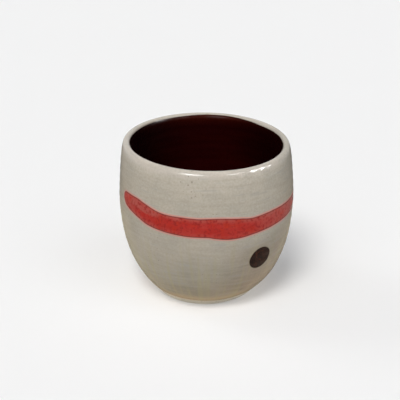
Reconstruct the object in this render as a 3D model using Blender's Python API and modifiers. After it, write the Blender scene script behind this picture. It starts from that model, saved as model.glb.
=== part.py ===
"""Handleless thrown stoneware mug with two glazes, a brushed red band and a brown dot.

The mug stands on the table at z = 0 with its axis on +Z. The front is -Y, and angles round
the mug are counted from there, positive toward +X. Lengths are in metres, angles in degrees.

One wall line, drawn from the middle of the floor up the inside, over the lip and down to the
foot, is the glazed surface that is seen. Every piece is offset inward from that line.
"""

import math
from typing import NamedTuple

import bmesh
import bpy
from mathutils import Matrix, Vector
from mathutils.geometry import interpolate_bezier


class Station(NamedTuple):
    """One place along the brush stroke, with rise and width in widths of the brush."""

    angle: float
    rise: float
    width: float


# Overall form of the thrown wall, measured on the glazed surface
MUG_HEIGHT = 0.0810
BELLY_RADIUS = 0.0450
BELLY_HEIGHT = 0.0520
BELLY_SWEEP_DOWN = 0.0343
BELLY_SWEEP_UP = 0.0040
WALL_THICKNESS = 0.0042

# Lip, a rounded bead that is drawn in from the belly and leans in on its outer side
LIP_DRAW_IN = 0.0043
LIP_THICKNESS = 0.0036
LIP_LEAN = 24.0
LIP_SWEEP = 0.0045
MOUTH_SWEEP = 0.0060

# Inside floor, and how its curve turns up into the wall
FLOOR_HEIGHT = 0.0080
FLOOR_SWEEP = 0.0300
WALL_SWEEP = 0.0340

# Foot ring, left bare, with a turned recess under the floor
FOOT_RADIUS = 0.0262
FOOT_FLARE = 52.0
FOOT_SWEEP = 0.0030
FOOT_RING_WIDTH = 0.0046
FOOT_ROUND = 0.0007
RECESS_DEPTH = 0.0025
RECESS_DRAFT = 0.0010
RECESS_ROUND = 0.0012

# Glaze coats: where the outer one stops above the table and how far it laps inside the lip
GLAZE_LINE_HEIGHT = 0.0040
GLAZE_THICKNESS = 0.0005
GLAZE_STEP = 0.0003
LIP_LAP = 0.0011

# Clearance between any two pieces that touch on the real mug
SEAT_GAP = 0.0003

# Brushed band round the belly: the brush's width, and the stroke's course from belly height
BRUSH_WIDTH = 0.0100
BAND_STATIONS = (
    Station(-65.4, 0.57, 0.12),
    Station(-63.5, 0.57, 0.48),
    Station(-60.0, 0.53, 0.66),
    Station(-55.0, 0.49, 0.78),
    Station(-48.4, 0.40, 0.97),
    Station(-40.0, 0.24, 1.01),
    Station(-28.4, 0.09, 0.95),
    Station(-12.4, 0.03, 1.02),
    Station(6.2, -0.03, 1.10),
    Station(13.8, -0.08, 1.13),
    Station(21.7, -0.10, 1.04),
    Station(30.0, -0.10, 0.90),
    Station(44.7, -0.07, 0.84),
    Station(67.0, -0.01, 0.75),
    Station(110.0, 0.04, 0.78),
    Station(160.0, 0.09, 0.82),
    Station(205.0, 0.13, 0.70),
    Station(230.0, 0.16, 0.50),
    Station(242.0, 0.18, 0.12),
)

# Dot dabbed on below the band, right of the front
DOT_DIAMETER = 0.0130
DOT_ANGLE = 38.5
DOT_DROP = 0.0210

# Facets
TURN_STEPS = 56
LOWER_POINTS = 9
UPPER_POINTS = 6
LIP_POINTS = 4
INNER_POINTS = 8
FILLET_POINTS = 3
BAND_ROWS = 3
BAND_STEP = 4.5
DOT_POINTS = 36


def clear_scene():
    """Remove every object of the start-up scene."""
    for obj in list(bpy.data.objects):
        bpy.data.objects.remove(obj, do_unlink=True)


def new_collection(name):
    """Make a collection in the scene."""
    collection = bpy.data.collections.new(name)
    bpy.context.scene.collection.children.link(collection)
    return collection


def new_material(name, colour, roughness):
    """Make a plain fired-ceramic finish."""
    material = bpy.data.materials.new(name)
    material.use_nodes = True
    shader = material.node_tree.nodes["Principled BSDF"]
    shader.inputs["Base Color"].default_value = (*colour, 1.0)
    shader.inputs["Roughness"].default_value = roughness
    shader.inputs["Metallic"].default_value = 0.0
    material.diffuse_color = (*colour, 1.0)
    return material


def new_object(name, shape, collection):
    """Turn a bmesh into a named object and free the bmesh."""
    mesh = bpy.data.meshes.new(name)
    shape.to_mesh(mesh)
    shape.free()
    obj = bpy.data.objects.new(name, mesh)
    collection.objects.link(obj)
    return obj


def polar(angle, length=1.0):
    """Vector of a length at an angle from +R in the (r, z) plane."""
    turn = math.radians(angle)
    return Vector((length * math.cos(turn), length * math.sin(turn)))


def lip_centre():
    """Centre of the lip's bead."""
    return Vector((BELLY_RADIUS - LIP_DRAW_IN, MUG_HEIGHT - LIP_THICKNESS / 2))


def lip_arc(start, end, count):
    """Points along the lip's bead between two angles, both ends included."""
    step = (end - start) / (count - 1)
    return [lip_centre() + polar(start + step * i, LIP_THICKNESS / 2) for i in range(count)]


def over_the_lip(start):
    """Points over the lip, from an angle on its inside to where the outer wall begins."""
    return lip_arc(start, 90.0, LIP_POINTS) + lip_arc(90.0, LIP_LEAN, LIP_POINTS)[1:]


def seam_angle(gap=0.0):
    """Angle on the lip's bead where the outer coat ends, or a gap further down the inside."""
    bead = LIP_THICKNESS / 2
    return 180.0 - math.degrees(math.asin(1.0 - LIP_LAP / bead) - gap / bead)


def glaze_line():
    """Point on the wall line where the outer coat stops above the bare foot."""
    reach = GLAZE_LINE_HEIGHT / math.tan(math.radians(FOOT_FLARE))
    return Vector((FOOT_RADIUS + reach, GLAZE_LINE_HEIGHT))


def inner_line():
    """Inside of the mug, from the middle of the floor up to the lip's bead."""
    middle = Vector((0.0, FLOOR_HEIGHT))
    belly = Vector((BELLY_RADIUS - WALL_THICKNESS, BELLY_HEIGHT))
    mouth = lip_centre() + polar(180.0, LIP_THICKNESS / 2)
    floor_handle = middle + Vector((FLOOR_SWEEP, 0.0))
    wall_handle = belly - Vector((0.0, WALL_SWEEP))
    belly_handle = belly + Vector((0.0, BELLY_SWEEP_UP))
    mouth_handle = mouth - Vector((0.0, MOUTH_SWEEP))
    lower = interpolate_bezier(middle, floor_handle, wall_handle, belly, INNER_POINTS)
    upper = interpolate_bezier(belly, belly_handle, mouth_handle, mouth, UPPER_POINTS)
    return lower + upper[1:]


def outer_line():
    """Outside of the mug, from the lip's bead down to the glaze line."""
    lip_edge = lip_centre() + polar(LIP_LEAN, LIP_THICKNESS / 2)
    belly = Vector((BELLY_RADIUS, BELLY_HEIGHT))
    lip_handle = lip_edge + polar(LIP_LEAN - 90.0, LIP_SWEEP)
    belly_handle_up = belly + Vector((0.0, BELLY_SWEEP_UP))
    belly_handle_down = belly - Vector((0.0, BELLY_SWEEP_DOWN))
    foot_handle = glaze_line() + polar(FOOT_FLARE, FOOT_SWEEP)
    upper = interpolate_bezier(lip_edge, lip_handle, belly_handle_up, belly, UPPER_POINTS)
    lower = interpolate_bezier(belly, belly_handle_down, foot_handle, glaze_line(), LOWER_POINTS)
    return upper + lower[1:]


def offset_inward(points, distance):
    """Move a line that runs floor, lip, foot into the clay by a distance."""
    moved = []
    for i, point in enumerate(points):
        before = points[max(i - 1, 0)]
        after = points[min(i + 1, len(points) - 1)]
        along = (after - before).normalized()
        if point.x == 0.0:
            along = Vector((1.0, 0.0))
        moved.append(point + distance * Vector((along.y, -along.x)))
    return moved


def rounded_corner(before, corner, after, radius):
    """Points that round a corner of a profile with a fillet."""
    into = (before - corner).normalized()
    out = (after - corner).normalized()
    half = into.angle(out) / 2
    middle = corner + (into + out).normalized() * (radius / math.sin(half))
    first = (corner + into * radius / math.tan(half) - middle).normalized()
    last = (corner + out * radius / math.tan(half) - middle).normalized()
    shares = [i / (FILLET_POINTS - 1) for i in range(FILLET_POINTS)]
    return [middle + radius * first.slerp(last, share) for share in shares]


def outer_coat_profile():
    """Closed profile of the outer coat, from inside the lip to the glaze line and back."""
    face = over_the_lip(seam_angle()) + outer_line()[1:]
    return face + list(reversed(offset_inward(face, GLAZE_THICKNESS)))


def liner_coat_profile():
    """Profile of the coat inside the mug, from its middle to the seam and back to its middle."""
    face = inner_line() + lip_arc(180.0, seam_angle(SEAT_GAP), 3)[1:]
    return face + list(reversed(offset_inward(face, GLAZE_THICKNESS)))


def foot_profile():
    """Bare clay from the ledge under the outer coat, round the foot ring, to the recess's middle."""
    inward = polar(FOOT_FLARE + 90.0)
    ledge = glaze_line() - polar(FOOT_FLARE, SEAT_GAP)
    inner_ledge = ledge + inward * (GLAZE_THICKNESS + SEAT_GAP)
    outer_ledge = ledge + inward * GLAZE_STEP
    outer_foot = Vector((FOOT_RADIUS - GLAZE_STEP / math.sin(math.radians(FOOT_FLARE)), 0.0))
    inner_foot = Vector((outer_foot.x - FOOT_RING_WIDTH, 0.0))
    recess_edge = Vector((inner_foot.x - RECESS_DRAFT, RECESS_DEPTH))
    recess_middle = Vector((0.0, RECESS_DEPTH))
    line = [inner_ledge, outer_ledge]
    line += rounded_corner(outer_ledge, outer_foot, inner_foot, FOOT_ROUND)
    line += rounded_corner(outer_foot, inner_foot, recess_edge, FOOT_ROUND)
    line += rounded_corner(inner_foot, recess_edge, recess_middle, RECESS_ROUND)
    return line + [recess_middle]


def body_profile():
    """Clay profile from the middle of the floor, over the lip, to the middle of the recess."""
    face = inner_line() + over_the_lip(180.0)[1:] + outer_line()[1:]
    return offset_inward(face, GLAZE_THICKNESS + SEAT_GAP)[:-1] + foot_profile()


def turned(name, points, collection, material, closed=False):
    """Turn a profile of (r, z) points round +Z."""
    shape = bmesh.new()
    verts = [shape.verts.new((point.x, 0.0, point.y)) for point in points]
    for first, second in zip(verts, verts[1:]):
        shape.edges.new((first, second))
    if closed:
        shape.edges.new((verts[-1], verts[0]))
    obj = new_object(name, shape, collection)
    obj.data.materials.append(material)
    screw = obj.modifiers.new("Turn", "SCREW")
    screw.axis = "Z"
    screw.angle = math.tau
    screw.steps = TURN_STEPS
    screw.render_steps = TURN_STEPS
    screw.use_merge_vertices = True
    screw.merge_threshold = 0.00001
    screw.use_smooth_shade = True
    return obj


def wall_at(height):
    """Point and outward normal of the outer wall line at a height, in the (r, z) plane."""
    line = outer_line()
    pairs = list(zip(line, line[1:]))
    upper, lower = next((pair for pair in pairs if pair[1].y <= height), pairs[-1])
    along = (lower - upper).normalized()
    share = (upper.y - height) / (upper.y - lower.y)
    return upper.lerp(lower, share), Vector((-along.y, along.x))


def on_wall(angle, height, depth):
    """Point at a depth under the glazed wall, at an angle round the mug and a height."""
    point, normal = wall_at(height)
    place = point - depth * normal
    turn = math.radians(angle)
    return Vector((place.x * math.sin(turn), -place.x * math.cos(turn), place.y))


def stroke_columns():
    """Columns across the brush stroke, on a smooth curve through its stations."""
    stations = [Vector(station) for station in BAND_STATIONS]
    line = [stations[0]] + stations + [stations[-1]]
    columns = [stations[0]]
    for before, first, second, after in zip(line, line[1:], line[2:], line[3:]):
        first_handle = first + (second - before) / 6
        second_handle = second - (after - first) / 6
        count = 1 + max(1, round((second.x - first.x) / BAND_STEP))
        columns += interpolate_bezier(first, first_handle, second_handle, second, count)[1:]
    return [Station(*column) for column in columns]


def band_cutter(name, margin, collection):
    """Block that follows the brush stroke round the belly, wider by a margin on every edge."""
    columns = stroke_columns()
    last = len(columns) - 1
    spread = math.degrees(margin / BELLY_RADIUS)
    shape = bmesh.new()
    bmesh.ops.create_grid(shape, x_segments=last, y_segments=BAND_ROWS, size=0.5)
    for vert in shape.verts:
        index = round((vert.co.x + 0.5) * last)
        column = columns[index]
        past_end = spread * ((index == last) - (index == 0))
        height = BELLY_HEIGHT + column.rise * BRUSH_WIDTH
        height += vert.co.y * (column.width * BRUSH_WIDTH + 2 * margin)
        vert.co = on_wall(column.angle + past_end, height, GLAZE_THICKNESS / 2)
    obj = new_object(name, shape, collection)
    solidify = obj.modifiers.new("Reach through the coat", "SOLIDIFY")
    solidify.thickness = 4 * GLAZE_THICKNESS
    solidify.offset = 0.0
    return hide_cutter(obj)


def dot_cutter(name, margin, collection):
    """Round bar square to the wall at the dot, wider by a margin all round."""
    height = BELLY_HEIGHT - DOT_DROP
    point = on_wall(DOT_ANGLE, height, GLAZE_THICKNESS / 2)
    outward = on_wall(DOT_ANGLE, height, 0.0) - point
    square = outward.to_track_quat("Z", "Y").to_matrix().to_4x4()
    radius = DOT_DIAMETER / 2 + margin
    wall_curve = radius**2 / BELLY_RADIUS
    shape = bmesh.new()
    bmesh.ops.create_cone(
        shape,
        cap_ends=True,
        segments=DOT_POINTS,
        radius1=radius,
        radius2=radius,
        depth=2 * (wall_curve + 2 * GLAZE_THICKNESS),
        matrix=Matrix.Translation(point) @ square,
    )
    return hide_cutter(new_object(name, shape, collection))


def hide_cutter(obj):
    """Mark an object as a cutter."""
    obj.hide_render = True
    obj.display_type = "WIRE"
    return obj


def combine(obj, cutter, operation):
    """Cut an object with a cutter, or keep only what lies in it."""
    boolean = obj.modifiers.new(cutter.name, "BOOLEAN")
    boolean.operation = operation
    boolean.solver = "EXACT"
    boolean.object = cutter


def build_clay(parts):
    """Thrown body: wall, floor, lip and foot ring in one piece."""
    clay = new_material("bare_stoneware", (0.36, 0.29, 0.22), 0.75)
    turned("stoneware_body", body_profile(), parts, clay)


def build_liner(parts):
    """Dark coat inside the mug, up to the seam inside the lip."""
    tenmoku = new_material("dark_liner_glaze", (0.012, 0.002, 0.002), 0.12)
    turned("liner_glaze", liner_coat_profile(), parts, tenmoku)


def build_outer_coat(parts, cutters):
    """Pale coat outside, with windows where the band and the dot lie in it."""
    pale = new_material("pale_outer_glaze", (0.42, 0.38, 0.31), 0.2)
    coat = turned("outer_glaze", outer_coat_profile(), parts, pale, closed=True)
    combine(coat, band_cutter("band_window", SEAT_GAP, cutters), "DIFFERENCE")
    combine(coat, dot_cutter("dot_window", SEAT_GAP, cutters), "DIFFERENCE")


def build_colours(parts, cutters):
    """Red band and brown dot, each the share of the outer coat that its stroke covers."""
    red = new_material("brushed_red_glaze", (0.35, 0.03, 0.02), 0.2)
    brown = new_material("brown_dot_glaze", (0.04, 0.02, 0.013), 0.2)
    band = turned("red_band", outer_coat_profile(), parts, red, closed=True)
    combine(band, band_cutter("band_shape", 0.0, cutters), "INTERSECT")
    dot = turned("brown_dot", outer_coat_profile(), parts, brown, closed=True)
    combine(dot, dot_cutter("dot_shape", 0.0, cutters), "INTERSECT")


def main():
    """Build the mug."""
    clear_scene()
    parts = new_collection("handleless_mug")
    cutters = new_collection("cutters")
    build_clay(parts)
    build_liner(parts)
    build_outer_coat(parts, cutters)
    build_colours(parts, cutters)


if __name__ == "__main__":
    main()
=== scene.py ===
"""Handleless thrown stoneware mug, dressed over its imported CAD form.

The mug stands at z = 0 with its axis on +Z and its front on -Y, in metres. Angles round the mug
are counted in degrees from the front, positive toward +X. One wall line, from the middle of the
floor up the inside, over the lip and down to the foot, is the glazed surface that is seen. Every
coat follows that line, and all pieces share the same slight unevenness of the potter's hands.
"""

import logging
import math
from dataclasses import dataclass
from enum import Enum
from functools import cache

import bmesh
import bpy
from mathutils import Matrix, Vector, kdtree, noise
from mathutils.geometry import interpolate_bezier


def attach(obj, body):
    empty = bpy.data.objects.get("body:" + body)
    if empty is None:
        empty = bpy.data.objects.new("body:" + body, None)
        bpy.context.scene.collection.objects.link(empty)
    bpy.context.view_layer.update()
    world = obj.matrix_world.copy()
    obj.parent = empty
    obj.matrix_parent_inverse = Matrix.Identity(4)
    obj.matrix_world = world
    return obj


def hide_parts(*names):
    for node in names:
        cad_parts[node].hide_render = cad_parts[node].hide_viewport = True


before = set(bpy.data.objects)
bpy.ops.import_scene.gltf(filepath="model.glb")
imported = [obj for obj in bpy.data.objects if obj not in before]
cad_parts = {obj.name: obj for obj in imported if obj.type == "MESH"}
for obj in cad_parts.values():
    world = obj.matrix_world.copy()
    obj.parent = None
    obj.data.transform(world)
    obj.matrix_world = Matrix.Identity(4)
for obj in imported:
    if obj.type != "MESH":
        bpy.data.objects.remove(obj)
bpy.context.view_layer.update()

MM = 0.001
IMAGE_SIZE = 400
SENSOR_WIDTH = 36.0
# Points of a mesh closer than this are one point
WELD_DISTANCE = 0.000001
# Noise reaches about 0.6 each way, and this brings it to about 1
NOISE_GAIN = 1.6
# A noise node gives 0 to 1, but rarely leaves this span
NOISE_SPAN = (0.30, 0.70)

log = logging.getLogger("mug")


class Slot(Enum):
    """Material slots of the record; the pieces here build their own finishes and do not use them.
    """

    BARE_STONEWARE = "bare_stoneware"
    PALE_GLAZE = "pale_glaze"
    DARK_GLAZE = "dark_glaze"
    RED_GLAZE = "red_glaze"
    BROWN_GLAZE = "brown_glaze"


class Mark(Enum):
    """Float attributes that the pieces carry for their finishes, all in millimetres or shares."""

    FROM_EDGE = "from_edge"
    ALONG = "along_stroke"
    ACROSS = "across_stroke"
    LOAD = "brush_load"
    SEAM = "near_seam"


def linear(code: str) -> tuple[float, float, float, float]:
    """Turn an sRGB hex colour into linear light.

    Args:
        code: Six hex digits, red first.

    Returns:
        Linear red, green and blue, and an alpha of 1.
    """
    shares = [int(code[i : i + 2], 16) / 255 for i in (0, 2, 4)]
    light = [c / 12.92 if c <= 0.04045 else ((c + 0.055) / 1.055) ** 2.4 for c in shares]
    return (light[0], light[1], light[2], 1.0)


def per_metre(size_mm: float) -> float:
    """Pattern scale whose features are about this many millimetres across."""
    return 1000.0 / size_mm


def level_waves(length_mm: float, apart_mm: float) -> tuple[float, float, float]:
    """Pattern scale along each axis for lines that run level round the mug."""
    return per_metre(length_mm), per_metre(length_mm), per_metre(apart_mm)


def ease(value: float, low: float, high: float) -> float:
    """Smooth step from 0 at low to 1 at high."""
    share = min(1.0, max(0.0, (value - low) / (high - low)))
    return share * share * (3.0 - 2.0 * share)


def polar(angle: float, length: float = 1.0) -> Vector:
    """Vector of a length at an angle in degrees from +R in the (r, z) plane."""
    turn = math.radians(angle)
    return Vector((length * math.cos(turn), length * math.sin(turn)))


def bearing(place: Vector) -> float:
    """Angle of a place round the mug in radians, from the front toward +X."""
    return math.atan2(place.x, -place.y)


def ripple(angle: float, height: float, waves: float, seed: float) -> float:
    """Smooth unevenness round the mug.

    Args:
        angle: Angle round the mug in radians.
        height: Height in units of one wave.
        waves: About how many waves go once round.
        seed: Shifts the pattern.

    Returns:
        A value of about -1 to 1 that closes on itself after a full turn.
    """
    reach = waves / math.tau
    place = Vector((reach * math.cos(angle), reach * math.sin(angle), height + seed))
    return NOISE_GAIN * noise.noise(place)


def add_ripples(
    angle: float, parts: tuple[tuple[float, float, float], ...], shift: float = 0.0
) -> float:
    """Add up ripples round the mug.

    Args:
        angle: Angle round the mug in radians.
        parts: Share, waves round the mug and seed of each ripple.
        shift: Added to every seed, for a pattern of its own.

    Returns:
        Their sum, about -1 to 1 times the shares.
    """
    return sum(share * ripple(angle, 0.0, waves, seed + shift) for share, waves, seed in parts)


@dataclass(frozen=True)
class WallLine:
    """Line of the glazed surface in the (r, z) plane, from the same sizes as the CAD source."""

    mug_height: float = 0.0810
    belly_radius: float = 0.0450
    belly_height: float = 0.0520
    belly_sweep_down: float = 0.0343
    belly_sweep_up: float = 0.0040
    wall_thickness: float = 0.0042
    lip_draw_in: float = 0.0043
    lip_thickness: float = 0.0036
    lip_lean: float = 24.0
    lip_sweep: float = 0.0045
    mouth_sweep: float = 0.0060
    floor_height: float = 0.0080
    floor_sweep: float = 0.0300
    wall_sweep: float = 0.0340
    foot_radius: float = 0.0262
    foot_flare: float = 52.0
    foot_sweep: float = 0.0030
    glaze_line_height: float = 0.0040

    def lip_centre(self) -> Vector:
        """Centre of the lip's bead."""
        radius = self.belly_radius - self.lip_draw_in
        return Vector((radius, self.mug_height - self.lip_thickness / 2))

    def lip_arc(self, start: float, end: float, count: int) -> list[Vector]:
        """Points along the lip's bead.

        Args:
            start: First angle on the bead, in degrees.
            end: Last angle on the bead, in degrees.
            count: Number of points, both ends included.

        Returns:
            The points in order.
        """
        step = (end - start) / (count - 1)
        centre = self.lip_centre()
        return [centre + polar(start + step * i, self.lip_thickness / 2) for i in range(count)]

    def glaze_end(self) -> Vector:
        """Point where the outer coat stops above the bare foot."""
        reach = self.glaze_line_height / math.tan(math.radians(self.foot_flare))
        return Vector((self.foot_radius + reach, self.glaze_line_height))

    def inside(self, lower: int = 44, upper: int = 28) -> list[Vector]:
        """Line from the middle of the floor up to the lip's bead.

        Args:
            lower: Points from the middle of the floor to belly height.
            upper: Points from belly height to the lip.

        Returns:
            The points in order.
        """
        middle = Vector((0.0, self.floor_height))
        belly = Vector((self.belly_radius - self.wall_thickness, self.belly_height))
        mouth = self.lip_centre() + polar(180.0, self.lip_thickness / 2)
        floor_handle = middle + Vector((self.floor_sweep, 0.0))
        wall_handle = belly - Vector((0.0, self.wall_sweep))
        belly_handle = belly + Vector((0.0, self.belly_sweep_up))
        mouth_handle = mouth - Vector((0.0, self.mouth_sweep))
        rising = interpolate_bezier(middle, floor_handle, wall_handle, belly, lower)
        closing = interpolate_bezier(belly, belly_handle, mouth_handle, mouth, upper)
        return rising + closing[1:]

    @cache
    def outside(self, upper: int = 30, lower: int = 64) -> list[Vector]:
        """Line from the lip's bead down to where the outer coat stops.

        Args:
            upper: Points from the lip to the belly.
            lower: Points from the belly to the glaze line.

        Returns:
            The points in order.
        """
        lip_edge = self.lip_centre() + polar(self.lip_lean, self.lip_thickness / 2)
        belly = Vector((self.belly_radius, self.belly_height))
        lip_handle = lip_edge + polar(self.lip_lean - 90.0, self.lip_sweep)
        above = belly + Vector((0.0, self.belly_sweep_up))
        below = belly - Vector((0.0, self.belly_sweep_down))
        foot_handle = self.glaze_end() + polar(self.foot_flare, self.foot_sweep)
        falling = interpolate_bezier(lip_edge, lip_handle, above, belly, upper)
        closing = interpolate_bezier(belly, below, foot_handle, self.glaze_end(), lower)
        return falling + closing[1:]

    def place(self, height: float) -> tuple[Vector, Vector]:
        """Find the outer wall at a height.

        Args:
            height: Height above the table.

        Returns:
            The point and the outward normal there, in the (r, z) plane.
        """
        line = self.outside()
        pairs = list(zip(line, line[1:]))
        above, below = next((pair for pair in pairs if pair[1].y <= height), pairs[-1])
        along = (below - above).normalized()
        share = (above.y - height) / (above.y - below.y)
        return above.lerp(below, share), Vector((-along.y, along.x))


@dataclass(frozen=True)
class PotterHands:
    """Slight unevenness that throwing left in the whole mug, the same for every piece."""

    # How much the rim leans and drops, at the front and at the back
    rim_slope: tuple[float, float] = (0.0009, 0.0005)
    rim_drop: tuple[float, float] = (0.0008, 0.00025)
    rim_from: float = 0.0300
    oval: float = 0.00022
    oval_turn: float = 0.9
    ring_depth: float = 0.000045
    ring_pitch: float = 0.0046
    # Heights between which the throwing rings fade in, and out again under the lip
    rings_in: tuple[float, float] = (0.012, 0.030)
    rings_out: tuple[float, float] = (0.074, 0.079)
    swell: float = 0.00010
    swell_pitch: float = 0.018
    swell_waves: float = 5.0
    swell_seed: float = 3.7
    foot_shift: float = -0.0005
    foot_flat: float = 0.0008
    foot_flat_angle: float = 38.0
    foot_flat_spread: float = 26.0
    foot_to: float = 0.0140

    def settle(self, shape: bmesh.types.BMesh, line: WallLine) -> None:
        """Move every vertex of a piece by the unevenness.

        Args:
            shape: Mesh that is moved in place.
            line: Wall line that gives the mug's height and width.
        """
        rim = line.belly_radius - line.lip_draw_in
        for vert in shape.verts:
            x, y, z = vert.co
            radius = math.hypot(x, y)
            angle = bearing(vert.co)
            behind = (1.0 - math.cos(angle)) / 2.0
            slope, drop = (
                front + (back - front) * behind for front, back in (self.rim_slope, self.rim_drop)
            )
            vert.co.z -= (slope * x / rim + drop) * ease(z, self.rim_from, line.mug_height)
            if radius > 0.0:
                push = self.oval * math.cos(2.0 * angle - self.oval_turn)
                wave = ripple(angle, z / self.swell_pitch, self.swell_waves, self.swell_seed)
                push += self.swell * wave
                rings = math.sin(math.tau * z / self.ring_pitch + angle)
                shown = ease(z, *self.rings_in) * (1.0 - ease(z, *self.rings_out))
                push += self.ring_depth * rings * shown
                low = ease(z, self.foot_to, 0.0)
                apart = (math.degrees(angle) - self.foot_flat_angle) / self.foot_flat_spread
                push -= self.foot_flat * low * math.exp(-(apart**2))
                grow = 1.0 + push * min(1.0, radius / rim) / radius
                vert.co.x = vert.co.x * grow + self.foot_shift * low
                vert.co.y *= grow


def offset_inward(points: list[Vector], depths: list[float]) -> list[Vector]:
    """Move a line that runs floor, lip, foot into the clay.

    Args:
        points: Points of the line.
        depths: How far each point moves.

    Returns:
        The moved points in the same order.
    """
    moved = []
    for i, (point, depth) in enumerate(zip(points, depths)):
        before = points[max(i - 1, 0)]
        after = points[min(i + 1, len(points) - 1)]
        along = (after - before).normalized()
        if point.x == 0.0:
            along = Vector((1.0, 0.0))
        moved.append(point + depth * Vector((along.y, -along.x)))
    return moved


def turned(points: list[Vector], steps: int, closed: bool = False) -> bmesh.types.BMesh:
    """Spin a profile of (r, z) points into a closed shell.

    Args:
        points: Profile in order, with both ends on the axis unless it is closed.
        steps: Facets in a full turn.
        closed: Whether the last point joins the first.

    Returns:
        The shell with its faces pointing outwards.
    """
    shape = bmesh.new()
    verts = [shape.verts.new((point.x, 0.0, point.y)) for point in points]
    edges = [shape.edges.new(pair) for pair in zip(verts, verts[1:])]
    if closed:
        edges.append(shape.edges.new((verts[-1], verts[0])))
    bmesh.ops.spin(
        shape,
        geom=verts + edges,
        cent=(0.0, 0.0, 0.0),
        axis=(0.0, 0.0, 1.0),
        angle=math.tau,
        steps=steps,
        use_merge=True,
        use_duplicate=False,
    )
    bmesh.ops.remove_doubles(shape, verts=shape.verts, dist=WELD_DISTANCE)
    bmesh.ops.recalc_face_normals(shape, faces=shape.faces)
    return shape


def add_object(name: str, data: bpy.types.ID) -> bpy.types.Object:
    """Add an object with its mesh, lamp or lens to the scene, at the origin."""
    made = bpy.data.objects.new(name, data)
    bpy.context.scene.collection.objects.link(made)
    return made


def to_mesh(name: str, shape: bmesh.types.BMesh, material: bpy.types.Material) -> bpy.types.Mesh:
    """Turn a bmesh into a mesh with a finish.

    Args:
        name: The mesh's name.
        shape: The bmesh, which is freed.
        material: Its finish.

    Returns:
        The mesh.
    """
    mesh = bpy.data.meshes.new(name)
    shape.to_mesh(mesh)
    shape.free()
    mesh.materials.append(material)
    return mesh


def finish_piece(
    name: str, shape: bmesh.types.BMesh, material: bpy.types.Material, node: str
) -> bpy.types.Object:
    """Turn a bmesh into a piece that rides on the mug and stands for its CAD node.

    Args:
        name: The piece's name.
        shape: Its mesh, which is freed.
        material: Its finish.
        node: CAD node that it replaces.

    Returns:
        The new object.
    """
    for face in shape.faces:
        face.smooth = True
    piece = add_object(name, to_mesh(name, shape, material))
    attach(piece, "root")
    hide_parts(node)
    return piece


# What goes into a socket: a node or a socket to link, a value, or text for a colour
Feed = bpy.types.Node | bpy.types.NodeSocket | tuple | str | float


def feed(node: bpy.types.Node, values: dict[str, Feed] | tuple[Feed, ...]) -> bpy.types.Node:
    """Give a node its values and links.

    Args:
        node: Node of a finish.
        values: What goes into the sockets in use, by their names or in their order. A node stands
            for its first output in use, and text for an sRGB hex colour.

    Returns:
        The same node.
    """
    shown = [socket for socket in node.inputs if socket.enabled]
    for key, value in values.items() if isinstance(values, dict) else enumerate(values):
        socket = shown[key] if isinstance(key, int) else next(s for s in shown if s.name == key)
        if isinstance(value, bpy.types.Node):
            value = next(output for output in value.outputs if output.enabled)
        if isinstance(value, bpy.types.NodeSocket):
            node.id_data.links.new(value, socket)
        else:
            socket.default_value = linear(value) if isinstance(value, str) else value
    return node


def add_node(
    tree: bpy.types.NodeTree,
    kind: str,
    values: dict[str, Feed] | tuple[Feed, ...] = (),
    **settings: str,
) -> bpy.types.Node:
    """Add a node with its settings, values and links.

    Args:
        tree: Node tree that it goes in.
        kind: Type name of the node, after the words that all of them start with.
        values: What goes into its sockets, as feed takes it.
        **settings: Properties of the node by name.

    Returns:
        The new node.
    """
    node = tree.nodes.new("ShaderNode" + kind)
    for name, value in settings.items():
        setattr(node, name, value)
    return feed(node, values)


def fill_ramp(node: bpy.types.Node, stops: tuple[tuple[float, Feed], ...]) -> bpy.types.Node:
    """Set the stops of a colour ramp.

    Args:
        node: Colour ramp node.
        stops: Position and colour of each stop, in order.

    Returns:
        The same node.
    """
    elements = node.color_ramp.elements
    while len(elements) > 1:
        elements.remove(elements[-1])
    for i, (position, colour) in enumerate(stops):
        element = elements.new(position) if i else elements[0]
        element.position = position
        element.color = linear(colour) if isinstance(colour, str) else colour
    return node


def lay_over(
    tree: bpy.types.NodeTree,
    base: Feed,
    colour: Feed,
    *spans: tuple[Feed, float, float],
    most: float = 1.0,
    smooth: bool = False,
) -> bpy.types.Node:
    """Lay a colour over another where measures of the place run from a start to an end.

    Args:
        tree: Node tree of the finish.
        base: Colour below.
        colour: Colour laid over it.
        *spans: Measure, its value where nothing is laid, and its value where the most is. The
            amounts of several spans are multiplied.
        most: Largest amount, up to 1.
        smooth: Whether the amount eases in and out.

    Returns:
        The node that gives the colour.
    """
    amount = None
    for measure, start, end in spans:
        share = add_node(
            tree,
            "MapRange",
            (measure, start, end, 0.0, most if amount is None else 1.0),
            interpolation_type="SMOOTHSTEP" if smooth else "LINEAR",
        )
        if amount is None:
            amount = share
        else:
            amount = add_node(tree, "Math", (amount, share), operation="MULTIPLY")
    return add_node(tree, "Mix", (amount, base, colour), data_type="RGBA")


def streaks(
    tree: bpy.types.NodeTree, place: Feed, waves: tuple[float, float, float], detail: float
) -> bpy.types.Node:
    """Noise drawn out to streaks.

    Args:
        tree: Node tree of the finish.
        place: Place on the piece.
        waves: Waves per unit along each axis.
        detail: How much finer structure is added.

    Returns:
        The node that gives the noise, 0 to 1.
    """
    drawn_out = add_node(tree, "Mapping", {"Vector": place, "Scale": waves})
    return add_node(tree, "TexNoise", (drawn_out, 1.0, detail))


def new_material(name: str) -> tuple[bpy.types.Material, bpy.types.NodeTree, bpy.types.Node]:
    """Make a finish with nothing but its main shader.

    Args:
        name: Name of the finish.

    Returns:
        The material, its node tree and its main shader.
    """
    material = bpy.data.materials.new(name)
    material.use_nodes = True
    tree = material.node_tree
    return material, tree, tree.nodes["Principled BSDF"]


@dataclass(frozen=True)
class PaintedShadePatch:
    """Place on the wall with a painted shade tone, fading in across and up the mug."""

    colour: str
    across: tuple[float, float]
    up: tuple[float, float]
    most: float
    both_sides: bool = False


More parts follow.
